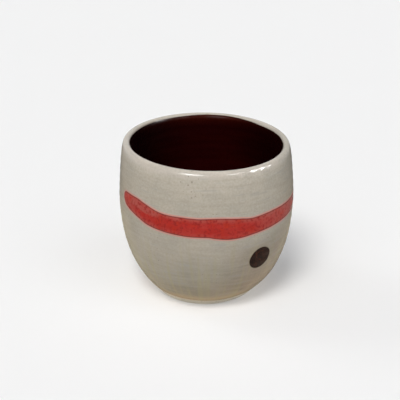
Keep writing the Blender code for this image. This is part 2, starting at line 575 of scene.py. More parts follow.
@dataclass(frozen=True)
class PaleGlaze:
    """Pale ash-white stoneware glaze, poured on and reduction fired over iron-bearing clay.

    It is opaque with a soft gloss, has the throwing lines showing faintly through it, small iron
    specks from the clay, and thins to tan with a toasted line where it stops above the foot.
    """

    name: str = "pale_ash_glaze_reduction_fired"
    # Share of the height and colour: thin above the foot, low, belly, shoulder, lip and its crest.
    # The wall is darker low down, partly where the glaze thins to tan and partly as painted shade,
    # and the lip and its crest are lighter as a painted highlight where they face the lamps
    tone_and_painted_light_by_height: tuple[tuple[float, str], ...] = (
        (0.140, "7a6b58"),
        (0.26, "958d7f"),
        (0.52, "aba397"),
        (0.76, "b0a89b"),
        (0.940, "b7afa2"),
        (0.972, "c6bdb4"),
    )
    # The same at its lower end: a thin dark line of painted shadow under the glaze's edge, then the
    # toasted line
    shadow_and_toast_by_edge: tuple[tuple[float, str], ...] = (
        (0.036, "72593c"),
        (0.046, "72593c"),
        (0.066, "ae8b5b"),
    )
    edge_fade: tuple[float, float] = (0.112, 0.066)
    height_span: tuple[float, float] = (0.0012, 0.0822)
    sway_mm: float = 9.0
    sway: float = 0.0024
    # Painted shade: darker and warmer at both sides as seen from the front, darker and browner low
    # on the right, and greyer high on the right
    patches: tuple[PaintedShadePatch, ...] = (
        PaintedShadePatch("9c8d70", (0.033, 0.045), (0.074, 0.060), 0.60, both_sides=True),
        PaintedShadePatch("806a58", (0.006, 0.020), (0.044, 0.034), 0.55),
        PaintedShadePatch("9b7c61", (-0.002, 0.024), (0.027, 0.015), 0.68),
        PaintedShadePatch("8c887c", (0.033, 0.043), (0.064, 0.075), 0.80),
    )
    lapped: str = "6a5138"
    cloud_tones: tuple[str, str] = ("8f8e80", "beb29f")
    cloud_share: float = 0.26
    cloud_mm: float = 11.0
    ring_tones: tuple[str, str] = ("8e8575", "cbc3b5")
    ring_share: float = 0.14
    ring_mm: tuple[float, float] = (14.0, 1.5)
    streak: str = "95948e"
    streak_span: tuple[float, float] = (0.60, 0.70)
    streak_share: float = 0.38
    grain_tones: tuple[str, str] = ("8b8371", "cdc5b6")
    grain_shares: tuple[float, float] = (0.07, 0.16)
    grain_span: tuple[float, float] = (0.030, 0.056)
    grain_mm: float = 1.0
    run: str = "a59d76"
    run_mm: tuple[float, float] = (2.2, 26.0)
    run_up: tuple[float, float] = (0.050, 0.022)
    run_span: tuple[float, float] = (0.48, 0.66)
    run_share: float = 0.34
    # Specks are 0.1 to 0.3 mm, drawn up to 0.5 mm across so that they show in the picture
    speck: str = "5c5245"
    speck_cell_mm: float = 1.7
    speck_mm: float = 0.40
    speck_fade: float = 0.08
    speck_share: float = 0.42
    crowd_mm: float = 19.0
    crowd_span: tuple[float, float] = (0.40, 0.66)
    cluster_place: tuple[float, float, float] = (-0.0075, -0.042, 0.0725)
    cluster_span: tuple[float, float] = (0.0130, 0.0039)
    cluster_size: float = 1.5
    roughness: tuple[float, float] = (0.12, 0.24)
    specular: float = 0.40
    sheen_mm: float = 5.0
    ridge_mm: tuple[float, float] = (16.0, 1.3)
    ridge_strength: float = 0.45
    ridge_depth: float = 0.00006
    # The skin where it is even, and where it is most uneven
    skin_mm: float = 1.9
    skin_strengths: tuple[float, float] = (0.5, 1.0)
    skin_depths: tuple[float, float] = (0.00010, 0.00026)
    uneven_across: tuple[float, float] = (0.008, 0.020)
    uneven_up: tuple[float, float] = (0.070, 0.075)

    def glaze_and_painted_shade_tone(self, tree: bpy.types.NodeTree, place: Feed, axes: Feed) -> bpy.types.Node:
        """Colour by how thick the glaze lies and by painted shade and highlight, from its end above
        the foot to the lip's crest.

        Args:
            tree: Node tree of the piece.
            place: Object coordinates.
            axes: The same, separated.

        Returns:
            The node that gives the colour.
        """
        across, up = axes.outputs["X"], axes.outputs["Z"]
        # The glaze stops and thins at an uneven height, so the height is swayed by 1.2 mm each way
        sway = add_node(tree, "TexNoise", (place, per_metre(self.sway_mm), 2.0))
        height = add_node(tree, "Math", (sway, self.sway, up), operation="MULTIPLY_ADD")
        share = add_node(tree, "MapRange", (height, *self.height_span))
        tone = fill_ramp(add_node(tree, "ValToRGB", (share,)), self.tone_and_painted_light_by_height)
        aside = add_node(tree, "Math", (across,), operation="ABSOLUTE")
        # Patches of painted shade at the sides and on the right of the wall
        for patch in self.patches:
            along = aside if patch.both_sides else across
            spans = (along, *patch.across), (up, *patch.up)
            tone = lay_over(tree, tone, patch.colour, *spans, most=patch.most)
        # A thin painted shadow under the glaze's edge, then the toasted line
        shadow_and_toast_tone = fill_ramp(add_node(tree, "ValToRGB", (share,)), self.shadow_and_toast_by_edge)
        return lay_over(tree, tone, shadow_and_toast_tone, (share, *self.edge_fade))

    def runs(self, tree: bpy.types.NodeTree, place: Feed, up: Feed) -> bpy.types.Node:
        """Thin upright runs round the wall, where the glaze ran a little as it melted.

        Args:
            tree: Node tree of the piece.
            place: Object coordinates.
            up: Height above the table.

        Returns:
            The node that gives the pattern, 0 to 1.
        """
        ground = add_node(tree, "VectorMath", (place, (1.0, 1.0, 0.0)), operation="MULTIPLY")
        around = add_node(tree, "VectorMath", (ground,), operation="NORMALIZE")
        upright = add_node(tree, "CombineXYZ", {"Z": up})
        width_mm, length_mm = self.run_mm
        waves_round = (WallLine.belly_radius / MM / width_mm,) * 3
        round_place = add_node(
            tree, "VectorMath", (around, waves_round, upright), operation="MULTIPLY_ADD"
        )
        return streaks(tree, round_place, (1.0, 1.0, per_metre(length_mm)), 1.0)

    def tone(self, tree: bpy.types.NodeTree) -> bpy.types.Node:
        """Build the glaze's colour from object coordinates.

        Args:
            tree: Node tree of a piece that shows this glaze.

        Returns:
            The node that gives the colour.
        """
        place = add_node(tree, "TexCoord").outputs["Object"]
        axes = add_node(tree, "SeparateXYZ", (place,))
        up = axes.outputs["Z"]
        tone = self.glaze_and_painted_shade_tone(tree, place, axes)
        # Throwing lines run level round the mug, long and a millimetre or two apart
        rings = streaks(tree, place, level_waves(*self.ring_mm), 2.0)
        clouds = add_node(tree, "TexNoise", (place, per_metre(self.cloud_mm), 3.0))
        grain = add_node(tree, "TexNoise", (place, per_metre(self.grain_mm), 2.0))
        # The mottling shows where the glaze is thick, and dies out where it thins low on the wall
        thick = add_node(tree, "MapRange", (up, *self.grain_span, *self.grain_shares))
        for pattern, tones, amount in (
            (clouds, self.cloud_tones, self.cloud_share),
            (rings, self.ring_tones, self.ring_share),
            (grain, self.grain_tones, thick),
        ):
            spread = add_node(tree, "MapRange", (pattern, *NOISE_SPAN))
            veil = fill_ramp(add_node(tree, "ValToRGB", (spread,)), tuple(enumerate(tones)))
            tone = add_node(tree, "Mix", (amount, tone, veil), data_type="RGBA")
        dense = rings, *self.streak_span
        tone = lay_over(tree, tone, self.streak, dense, most=self.streak_share)
        spans = (up, *self.run_up), (self.runs(tree, place, up), *self.run_span)
        tone = lay_over(tree, tone, self.run, *spans, most=self.run_share)
        specks = self.specks(tree, place)
        return add_node(tree, "Mix", (specks, tone, self.speck), data_type="RGBA")

    def specks(
        self, tree: bpy.types.NodeTree, place: Feed, least: float = 0.15
    ) -> bpy.types.Node:
        """Spread iron specks, denser in some places than others and densest left of the front.

        Args:
            tree: Node tree that shows them.
            place: Object coordinates.
            least: Share of their full size where they are sparse.

        Returns:
            The node that gives the amount of speck.
        """
        cells = add_node(tree, "TexVoronoi", (place, per_metre(self.speck_cell_mm)))
        spread = add_node(tree, "TexNoise", (place, per_metre(self.crowd_mm), 1.0))
        crowded = add_node(tree, "MapRange", (spread, *self.crowd_span, least))
        away = add_node(tree, "VectorMath", (place, self.cluster_place), operation="DISTANCE")
        cluster = add_node(
            tree, "MapRange", (away, *self.cluster_span, 0.0, self.cluster_size)
        )
        crowded = add_node(tree, "Math", (crowded, cluster), operation="MAXIMUM")
        chance = add_node(tree, "SeparateColor", (cells.outputs["Color"],)).outputs["Red"]
        size = add_node(tree, "Math", (chance, crowded), operation="MULTIPLY")
        full_size = self.speck_mm / self.speck_cell_mm
        radius = add_node(tree, "Math", (size, full_size), operation="MULTIPLY")
        distance = cells.outputs["Distance"]
        inside = add_node(tree, "Math", (radius, distance), operation="SUBTRACT")
        return add_node(tree, "MapRange", (inside, 0.0, self.speck_fade, 0.0, self.speck_share))

    def gloss(self, tree: bpy.types.NodeTree, shader: bpy.types.Node) -> None:
        """Give a shader this glaze's soft gloss and its gently uneven skin.

        Args:
            tree: Node tree of the finish.
            shader: Its main shader.
        """
        place = add_node(tree, "TexCoord").outputs["Object"]
        patchy = add_node(tree, "TexNoise", (place, per_metre(self.sheen_mm), 3.0))
        rough = add_node(tree, "MapRange", (patchy, *NOISE_SPAN, *self.roughness))
        ridges = {
            "Height": streaks(tree, place, level_waves(*self.ridge_mm), 2.0),
            "Strength": self.ridge_strength,
            "Distance": self.ridge_depth,
        }
        # The skin is most uneven along the right of the lip, where it breaks the glints up
        axes = add_node(tree, "SeparateXYZ", (place,))
        right = add_node(tree, "MapRange", (axes.outputs["X"], *self.uneven_across))
        lip = add_node(tree, "MapRange", (axes.outputs["Z"], *self.uneven_up))
        uneven = add_node(tree, "Math", (right, lip), operation="MULTIPLY")
        skin = {
            "Height": add_node(tree, "TexNoise", (place, per_metre(self.skin_mm), 2.0)),
            "Strength": add_node(tree, "MapRange", (uneven, 0.0, 1.0, *self.skin_strengths)),
            "Distance": add_node(tree, "MapRange", (uneven, 0.0, 1.0, *self.skin_depths)),
            "Normal": add_node(tree, "Bump", ridges),
        }
        peel = add_node(tree, "Bump", skin)
        feed(shader, {"Roughness": rough, "Specular IOR Level": self.specular, "Normal": peel})

    def coat_material(self) -> bpy.types.Material:
        """Build the finish of the outer coat, browned where it laps over the dark liner.

        Returns:
            The material.
        """
        material, tree, shader = new_material(self.name)
        seam = add_node(tree, "Attribute", attribute_name=Mark.SEAM.value).outputs["Fac"]
        browned = add_node(tree, "Mix", (seam, self.tone(tree), self.lapped), data_type="RGBA")
        feed(shader, {"Base Color": browned})
        self.gloss(tree, shader)
        return material


@dataclass(frozen=True)
class LinerGlaze:
    """Dark iron glaze inside, poured in and out, black-brown where thick and rust where it is thin.

    Iron makes it nearly black with a wet gloss, so the eye sees only its rusty breaks over the
    throwing ridges and near the lip.
    """

    name: str = "dark_iron_liner_glaze_poured"
    # Painted shade that darkens the inside on the left and at the far right
    inside_shade: str = "0c0101"
    thick: str = "260303"
    thin: str = "2e0503"
    thin_span: tuple[float, float] = (0.46, 0.72)
    rust: str = "481506"
    ridge_mm: tuple[float, float] = (24.0, 7.0)
    below_rim: tuple[float, float] = (0.007, 0.001)
    # Share of the width from left to right, and how much of the glaze's own colour shows there over
    # the painted shade
    half_width: float = 0.042
    lit_across: tuple[tuple[float, float], ...] = (
        (0.06, 0.02),
        (0.21, 0.45),
        (0.36, 0.85),
        (0.50, 1.0),
        (0.66, 0.9),
        (0.86, 0.3),
        (0.97, 0.05),
    )
    skin_mm: float = 3.0
    skin_strength: float = 0.5
    skin_depth: float = 0.0001
    roughness: tuple[float, float] = (0.20, 0.34)
    specular: float = 0.05

    def material(self, line: WallLine) -> bpy.types.Material:
        """Build the liner's finish.

        Args:
            line: Wall line, for the height where the glaze thins.

        Returns:
            The material.
        """
        material, tree, shader = new_material(self.name)
        place = add_node(tree, "TexCoord").outputs["Object"]
        axes = add_node(tree, "SeparateXYZ", (place,))
        ridges = streaks(tree, place, level_waves(*self.ridge_mm), 3.0)
        tone = lay_over(tree, self.thick, self.thin, (ridges, *self.thin_span))
        start, end = (line.mug_height - drop for drop in self.below_rim)
        near_lip = add_node(tree, "MapRange", (axes.outputs["Z"], start, end))
        breaking = add_node(tree, "Math", (near_lip, ridges), operation="MULTIPLY")
        tone = add_node(tree, "Mix", (breaking, tone, self.rust), data_type="RGBA")
        # Painted shade: near black on the left and at the far right of the inside, lightest in the
        # middle
        side = self.half_width
        across = add_node(tree, "MapRange", (axes.outputs["X"], -side, side))
        greys = tuple((at, (share, share, share, 1.0)) for at, share in self.lit_across)
        lit_share = fill_ramp(add_node(tree, "ValToRGB", (across,)), greys)
        tone = add_node(tree, "Mix", (lit_share, self.inside_shade, tone), data_type="RGBA")
        skin = add_node(tree, "TexNoise", (place, per_metre(self.skin_mm), 2.0))
        uneven = {"Height": skin, "Strength": self.skin_strength, "Distance": self.skin_depth}
        looks = {
            "Base Color": tone,
            "Roughness": add_node(tree, "MapRange", (skin, 0.0, 1.0, *self.roughness)),
            "Specular IOR Level": self.specular,
            "Normal": add_node(tree, "Bump", uneven),
        }
        feed(shader, looks)
        return material


@dataclass(frozen=True)
class StainEdge:
    """How a stain under the pale glaze ends, with distances in millimetres, positive inward."""

    halo: str
    bleed_span: tuple[float, float]
    bleed_share: float
    cover_span: tuple[float, float]

    def fade(
        self, tree: bpy.types.NodeTree, glaze: PaleGlaze, stain: Feed, inward: Feed
    ) -> bpy.types.Node:
        """Let a stain bleed out a little, and then fade into the glaze.

        Args:
            tree: Node tree of the finish.
            glaze: Pale glaze round the stain.
            stain: The stain's own colour.
            inward: Distance from the stain's edge.

        Returns:
            The node that gives the colour.
        """
        bled = (inward, *self.bleed_span)
        tone = glaze.tone(tree)
        tone = lay_over(tree, tone, self.halo, bled, most=self.bleed_share, smooth=True)
        return lay_over(tree, tone, stain, (inward, *self.cover_span), smooth=True)


@dataclass(frozen=True)
class BrushedRed:
    """Red stain brushed on under the pale glaze in one loaded stroke.

    Under the glaze the stain bleeds to a pink rim, gathers to a dull line just inside its edge, is
    milky where the glaze lies thick over its upper side, and stays a strong, mottled red below.
    """

    name: str = "red_stain_brushed_under_glaze"
    deep: str = "ad2a22"
    milky: str = "ad5047"
    hair_mm: tuple[float, float] = (14.0, 0.8)
    hair_share: float = 0.3
    load_mm: float = 4.2
    load_share: float = 0.6
    load_span: tuple[float, float] = (0.62, 1.48)
    # Size in millimetres, colour and share: warmer patches, and small darker blots of stain
    blots: tuple[tuple[float, str, float], ...] = ((5.0, "b32c18", 0.8), (1.3, "8d231f", 0.85))
    blot_span: tuple[float, float] = (0.50, 0.68)
    speck: str = "5e1712"
    speck_least: float = 0.6
    # Where a painted sheen pales the red on the right, and how much
    sheen_across: tuple[float, float] = (0.027, 0.044)
    sheen_share: float = 0.17
    # Distance inward from the edge in millimetres where the dull line ends, and where it is full
    line: str = "6c332c"
    line_span: tuple[float, float] = (0.95, 0.35)
    line_share: float = 0.80
    edge: StainEdge = StainEdge("cc9186", (-0.90, -0.42), 0.90, (-0.12, 0.25))

    def material(self, glaze: PaleGlaze) -> bpy.types.Material:
        """Build the band's finish, which fades into the glaze round it.

        Args:
            glaze: Pale glaze that the stroke lies in.

        Returns:
            The material.
        """
        material, tree, shader = new_material(self.name)
        place = add_node(tree, "TexCoord").outputs["Object"]
        inward, along, across, load = (
            add_node(tree, "Attribute", attribute_name=mark.value).outputs["Fac"]
            for mark in (Mark.FROM_EDGE, Mark.ALONG, Mark.ACROSS, Mark.LOAD)
        )
        # Hairs of the brush leave long streaks less than a millimetre apart
        stroke = add_node(tree, "CombineXYZ", (along, across))
        length_mm, apart_mm = self.hair_mm
        hairs = streaks(tree, stroke, (1 / length_mm, 1 / apart_mm, 1.0), 2.0)
        patches = add_node(tree, "TexNoise", (place, per_metre(self.load_mm), 2.0))
        strength = load
        for pattern, share in ((hairs, self.hair_share), (patches, self.load_share)):
            strength = add_node(tree, "Math", (pattern, share, strength), operation="MULTIPLY_ADD")
        red = lay_over(tree, self.milky, self.deep, (strength, *self.load_span))
        for size_mm, colour, most in self.blots:
            blots = add_node(tree, "TexNoise", (place, per_metre(size_mm), 2.0))
            red = lay_over(tree, red, colour, (blots, *self.blot_span), most=most)
        specks = glaze.specks(tree, place, self.speck_least)
        red = add_node(tree, "Mix", (specks, red, self.speck), data_type="RGBA")
        # Painted sheen: the red turns paler toward the right side, where the wall turns away as
        # seen from the front
        right = add_node(tree, "SeparateXYZ", (place,)).outputs["X"]
        sheen_span = (right, *self.sheen_across)
        red = lay_over(tree, red, self.edge.halo, sheen_span, most=self.sheen_share)
        red = lay_over(tree, red, self.line, (inward, *self.line_span), most=self.line_share)
        feed(shader, {"Base Color": self.edge.fade(tree, glaze, red, inward)})
        glaze.gloss(tree, shader)
        return material


@dataclass(frozen=True)
class DabbedBrown:
    """Iron oxide dabbed on under the pale glaze with a round sponge or finger.

    It fires to a flat, near-black brown with a crisp edge, a little lighter and redder where less
    oxide lies.
    """

    name: str = "brown_iron_oxide_dabbed_under_glaze"
    deep: str = "23140e"
    light: str = "3b2116"
    patch_mm: float = 2.2
    patch_span: tuple[float, float] = (0.40, 0.60)
    line_span: tuple[float, float] = (1.0, 0.2)
    line_share: float = 0.7
    edge: StainEdge = StainEdge("8d7f6a", (-0.6, -0.1), 0.6, (-0.1, 0.15))

    def material(self, glaze: PaleGlaze) -> bpy.types.Material:
        """Build the dot's finish.

        Args:
            glaze: Pale glaze that the dot lies in.

        Returns:
            The material.
        """
        material, tree, shader = new_material(self.name)
        place = add_node(tree, "TexCoord").outputs["Object"]
        inward = add_node(tree, "Attribute", attribute_name=Mark.FROM_EDGE.value).outputs["Fac"]
        patches = add_node(tree, "TexNoise", (place, per_metre(self.patch_mm), 3.0))
        brown = lay_over(tree, self.deep, self.light, (patches, *self.patch_span))
        brown = lay_over(tree, brown, self.deep, (inward, *self.line_span), most=self.line_share)
        feed(shader, {"Base Color": self.edge.fade(tree, glaze, brown, inward)})
        glaze.gloss(tree, shader)
        return material


@dataclass(frozen=True)
class BareStoneware:
    """Buff stoneware clay, turned and fired bare.

    It is matt and sandy, with a fine tooth, dark iron grains, and a toasted blush close to the
    glaze.
    """

    name: str = "buff_stoneware_fired_bare"
    clay: str = "d0c7b6"
    shade: str = "b3aa98"
    toast: str = "a67f4b"
    toast_reach: float = 0.0012
    toast_share: float = 0.85
    grain: str = "5d4f3e"
    grain_cell_mm: float = 1.6
    grain_span: tuple[float, float] = (0.20, 0.12)
    grain_share: float = 0.6
    sand_mm: float = 0.8
    sand_strength: float = 0.6
    sand_depth: float = 0.00012
    roughness: float = 0.8

    def material(self, line: WallLine) -> bpy.types.Material:
        """Build the bare clay's finish.

        Args:
            line: Wall line, for the height of the glaze's end.

        Returns:
            The material.
        """
        material, tree, shader = new_material(self.name)
        place = add_node(tree, "TexCoord").outputs["Object"]
        up = add_node(tree, "SeparateXYZ", (place,)).outputs["Z"]
        sand = add_node(tree, "TexNoise", (place, per_metre(self.sand_mm), 4.0))
        tone = add_node(tree, "Mix", (sand, self.shade, self.clay), data_type="RGBA")
        end = line.glaze_line_height
        near_end = (up, end - self.toast_reach, end)
        tone = lay_over(tree, tone, self.toast, near_end, most=self.toast_share)
        grains = add_node(tree, "TexVoronoi", (place, per_metre(self.grain_cell_mm)))
        dark = (grains, *self.grain_span)
        tone = lay_over(tree, tone, self.grain, dark, most=self.grain_share)
        tooth = {"Height": sand, "Strength": self.sand_strength, "Distance": self.sand_depth}
        bump = add_node(tree, "Bump", tooth)
        feed(shader, {"Base Color": tone, "Roughness": self.roughness, "Normal": bump})
        return material


@dataclass(frozen=True)
class ThrownClay:
    """Thrown wall, floor and foot ring in one piece of clay, bare only at the foot."""

    cover: float = 0.0006
    end_cover: float = 0.00034
    cover_fade: float = 0.004
    foot_step: float = 0.0003
    under_glaze: float = 0.0004
    foot_ring_width: float = 0.0046
    foot_round: float = 0.0007
    recess_depth: float = 0.0025
    recess_draft: float = 0.0010
    recess_round: float = 0.0012
    fillet_points: int = 7
    inside_points: tuple[int, int] = (20, 10)
    lip_points: int = 13
    outside_points: tuple[int, int] = (12, 30)
    steps: int = 256

    def corner(self, before: Vector, at: Vector, after: Vector, radius: float) -> list[Vector]:
        """Round a corner of the profile.

        Args:
            before: Point before the corner.
            at: The corner.
            after: Point after the corner.
            radius: Radius of the fillet.

        Returns:
            Points along the fillet.
        """
        into = (before - at).normalized()
        out = (after - at).normalized()
        half = into.angle(out) / 2
        middle = at + (into + out).normalized() * (radius / math.sin(half))
        first = (at + into * radius / math.tan(half) - middle).normalized()
        last = (at + out * radius / math.tan(half) - middle).normalized()
        shares = [i / (self.fillet_points - 1) for i in range(self.fillet_points)]
        return [middle + radius * first.slerp(last, share) for share in shares]

    def foot(self, line: WallLine) -> list[Vector]:
        """Bare clay from the glaze line, round the foot ring, to the middle of the recess.

        Args:
            line: Wall line.

        Returns:
            Points in order.
        """
        flare = math.sin(math.radians(line.foot_flare))
        outer = Vector((line.foot_radius - self.foot_step / flare, 0.0))
        rise = (line.glaze_line_height - self.under_glaze) / flare
        start = outer + polar(line.foot_flare, rise)
        inner = Vector((outer.x - self.foot_ring_width, 0.0))
        edge = Vector((inner.x - self.recess_draft, self.recess_depth))
        middle = Vector((0.0, self.recess_depth))
        points = [outer.lerp(start, share) for share in (1.0, 0.8, 0.6, 0.4)]
        points += self.corner(start, outer, inner, self.foot_round)
        points += self.corner(outer, inner, edge, self.foot_round)
        points += self.corner(inner, edge, middle, self.recess_round)
        return points + [edge.lerp(middle, share) for share in (0.25, 0.5, 0.75, 1.0)]

    def build(self, line: WallLine, hands: PotterHands, finish: BareStoneware) -> bpy.types.Object:
        """Model the clay and dress it.

        Args:
            line: Wall line.
            hands: The potter's unevenness.
            finish: Bare clay.

        Returns:
            The piece.
        """
        lip = line.lip_arc(180.0, line.lip_lean, self.lip_points)
        inner = line.inside(*self.inside_points) + lip[1:]
        outer = line.outside(*self.outside_points)[1:-1]
        low = line.glaze_line_height
        lit_share = [1.0 - ease(point.y, low, low + self.cover_fade) for point in outer]
        depths = [self.cover] * len(inner)
        depths += [self.cover - (self.cover - self.end_cover) * share for share in lit_share]
        shape = turned(offset_inward(inner + outer, depths) + self.foot(line), self.steps)
        hands.settle(shape, line)
        material = finish.material(line)
        return finish_piece("thrown_clay", shape, material, "stoneware_body")


@dataclass(frozen=True)
class LinerCoat:
    """Dark coat inside the mug, whose upper edge runs under the pale coat's lap on the lip."""

    thickness: float = 0.0005
    clearance: float = 0.00004
    lap: float = 0.0003
    lap_span: tuple[float, float] = (-0.0012, 0.0006)
    top_angle: float = 120.0
    lip_points: int = 9
    groove_depth: float = 0.00007
    groove_pitch: float = 0.0085
    grooves_out: tuple[float, float] = (0.003, 0.012)
    grooves_up: tuple[float, float] = (0.066, 0.076)
    steps: int = 256

    def build(self, line: WallLine, hands: PotterHands, finish: LinerGlaze) -> bpy.types.Object:
        """Model the coat with its finger grooves and dress it.

        Args:
            line: Wall line.
            hands: The potter's unevenness.
            finish: Dark glaze.

        Returns:
            The piece.
        """
        face = line.inside() + line.lip_arc(180.0, self.top_angle, self.lip_points)[1:]
        start, end = (line.lip_centre().y + offset for offset in self.lap_span)
        sink = [self.lap * ease(point.y, start, end) for point in face]
        back = offset_inward(face, [self.thickness + self.clearance] * len(face))
        shape = turned(offset_inward(face, sink) + list(reversed(back)), self.steps)
        centre = Vector((0.0, 0.0, line.belly_height))
        for vert in shape.verts:
            radius = math.hypot(vert.co.x, vert.co.y)
            along = (radius + vert.co.z) / self.groove_pitch
            wave = math.sin(math.tau * along + bearing(vert.co))
            window = ease(radius, *self.grooves_out) * (1.0 - ease(vert.co.z, *self.grooves_up))
            push = self.groove_depth * (1.0 + wave) * window
            vert.co += (centre - vert.co).normalized() * push
        hands.settle(shape, line)
        material = finish.material(line)
        return finish_piece("liner_coat", shape, material, "liner_glaze")


def hump(turn: float, centre: float, spread: float) -> float:
    """Smooth bump round the mug.

    Args:
        turn: Angle round the mug in radians.
        centre: Where the bump is highest, in degrees.
        spread: Its half width in degrees.

    Returns:
        1 at the centre, falling to 0 on both sides.
    """
    apart = (math.degrees(turn) - centre + 180.0) % 360.0 - 180.0
    return math.exp(-((apart / spread) ** 2))


@dataclass(frozen=True)
class PaleCoat:
    """Pale coat outside, carried over the lip and stopping above the foot in a soft roll."""

    thickness: float = 0.0005
    end_thickness: float = 0.0003
    end_fade: float = 0.003
    lip_lap: float = 0.0011
    lip_points: int = 26
    # Angles on the lip's bead where the coat's inner end may wander, and how it fades in there
    seam_reach: tuple[float, float] = (95.0, 200.0)
    seam_fade: tuple[float, float] = (110.0, 150.0)
    seam_wave: float = 0.00018
    # Share, waves round the mug and seed of each ripple, here and for the foot
    seam_ripples: tuple[tuple[float, float, float], ...] = ((1.0, 9.0, 1.3), (0.6, 31.0, 5.1))
    # How far the seam lies higher and lower, and the place and half width of that in degrees
    seam_lift: float = 0.00075
    seam_lift_at: tuple[float, float] = (176.0, 30.0)
    seam_sag: float = 0.00040
    seam_sag_at: tuple[float, float] = (133.0, 16.0)
    # Angles round the mug and half widths where the browned lap over the dark glaze reaches further
    # down: painted shade at the left back, and a small brown speck at the back. Then how browned it
    # is, and the angles on the bead it covers
    browned_and_shaded_at: tuple[tuple[float, float], ...] = ((-118.0, 26.0), (179.0, 1.6))
    browned: float = 0.6
    browned_span: tuple[float, float] = (-6.0, 4.0)
    browned_reach: float = 34.0
    foot_wave: float = 0.00045
    foot_ripples: tuple[tuple[float, float, float], ...] = ((1.0, 7.0, 8.2), (0.5, 23.0, 2.6))
    foot_fade: float = 0.005
    steps: int = 288

    def seam_angle(self, line: WallLine) -> float:
        """Angle on the lip's bead where the coat ends inside the mug."""
        return 180.0 - math.degrees(math.asin(1.0 - 2.0 * self.lip_lap / line.lip_thickness))

    def profile(self, line: WallLine) -> list[Vector]:
        """Closed profile of the coat with rounded ends.

        Args:
            line: Wall line.

        Returns:
            Points in order.
        """
        lip = line.lip_arc(self.seam_angle(line), line.lip_lean, self.lip_points)
        face = lip + line.outside()[1:]
        depths = []
        for point in face:
            near = min((point - end).length for end in (face[0], face[-1]))
            grown = (self.thickness - self.end_thickness) * ease(near, 0.0, self.end_fade)
            depths.append(self.end_thickness + grown)
        back = offset_inward(face, depths)
        roll = self.end_thickness / 2
        rolled = []
        for end, start, side in ((face[-1], back[-1], face[-2]), (back[0], face[0], back[1])):
            middle = (end + start) / 2
            outward = (middle - (side + (start - end) / 2)).normalized()
            across = (end - middle).normalized()
            turns = [math.radians(angle) for angle in range(30, 180, 30)]
            rolled.append(
                [middle + roll * (across * math.cos(t) + outward * math.sin(t)) for t in turns]
            )
        return face + rolled[0] + list(reversed(back)) + rolled[1]

    def on_bead(self, place: Vector, line: WallLine) -> tuple[float, float]:
        """Find a place's angle and distance from the middle of the lip's bead.

        Args:
            place: Place on the mug.
            line: Wall line.

        Returns:
            Angle in degrees, 0 outward and 90 up, and the distance.
        """
        spoke = Vector((math.hypot(place.x, place.y), place.z)) - line.lip_centre()
        return math.degrees(math.atan2(spoke.y, spoke.x)) % 360.0, spoke.length

    def wander(self, shape: bmesh.types.BMesh, line: WallLine) -> None:
        """Let the coat's two ends run uneven round the mug.

        Args:
            shape: Coat's mesh, moved in place.
            line: Wall line.
        """
        slope = math.tan(math.radians(line.foot_flare))
        low = line.glaze_line_height
        for vert in shape.verts:
            radius = math.hypot(vert.co.x, vert.co.y)
            turn = bearing(vert.co)
            angle, distance = self.on_bead(vert.co, line)
            if distance < line.lip_thickness and self.seam_reach[0] < angle < self.seam_reach[1]:
                slide = self.seam_wave * add_ripples(turn, self.seam_ripples)
                slide -= self.seam_lift * hump(turn, *self.seam_lift_at)
                slide += self.seam_sag * hump(turn, *self.seam_sag_at)
                slide *= ease(angle, *self.seam_fade)
                shift = math.degrees(slide / (line.lip_thickness / 2))
                moved = line.lip_centre() + polar(angle + shift, distance)
            else:
                fade = 1.0 - ease(vert.co.z, low, low + self.foot_fade)
                lift = self.foot_wave * add_ripples(turn, self.foot_ripples) * fade
                moved = Vector((radius + lift / slope, vert.co.z + lift))
            vert.co.x *= moved.x / radius
            vert.co.y *= moved.x / radius
            vert.co.z = moved.y

    def build(self, line: WallLine, hands: PotterHands, finish: PaleGlaze) -> bpy.types.Object:
        """Model the coat and dress it.

        Args:
            line: Wall line.
            hands: The potter's unevenness.
            finish: Pale glaze.

        Returns:
            The piece.
        """
        shape = turned(self.profile(line), self.steps, closed=True)
        near = shape.verts.layers.float.new(Mark.SEAM.value)
        start, end = (self.seam_angle(line) + offset for offset in self.browned_span)
        for vert in shape.verts:
            angle, distance = self.on_bead(vert.co, line)
            if distance < line.lip_thickness and angle < self.seam_reach[1]:
                # At the left back the browning reaches further down as painted shade
                browning_widened = sum(hump(bearing(vert.co), *place) for place in self.browned_and_shaded_at)
                vert[near] = self.browned * ease(angle, start - self.browned_reach * browning_widened, end)
        self.wander(shape, line)
        hands.settle(shape, line)
        material = finish.coat_material()
        return finish_piece("pale_coat", shape, material, "outer_glaze")


def lay_on_wall(line: WallLine, angle: float, height: float, proud: float) -> Vector:
    """Point on the outer wall, standing proud by a distance.

    Args:
        line: Wall line.
        angle: Angle round the mug in degrees.
        height: Height above the table.
        proud: Distance out from the wall.

    Returns:
        The point in space.
    """
    point, normal = line.place(height)
    spot = point + proud * normal
    turn = math.radians(angle)
    return Vector((spot.x * math.sin(turn), -spot.x * math.cos(turn), spot.y))


def keep_rim_sharp(shape: bmesh.types.BMesh) -> None:
    """Keep a skin's shading flat up to its rim, so that no light gathers along it."""
    for edge in shape.edges:
        edge.smooth = not edge.is_boundary


def sink_into_coat(piece: bpy.types.Object, depth: float) -> None:
    """Give a laid-on skin its thickness, down into the coat."""
    solid = piece.modifiers.new("Depth in the coat", "SOLIDIFY")
    solid.thickness = depth
    solid.offset = -1.0


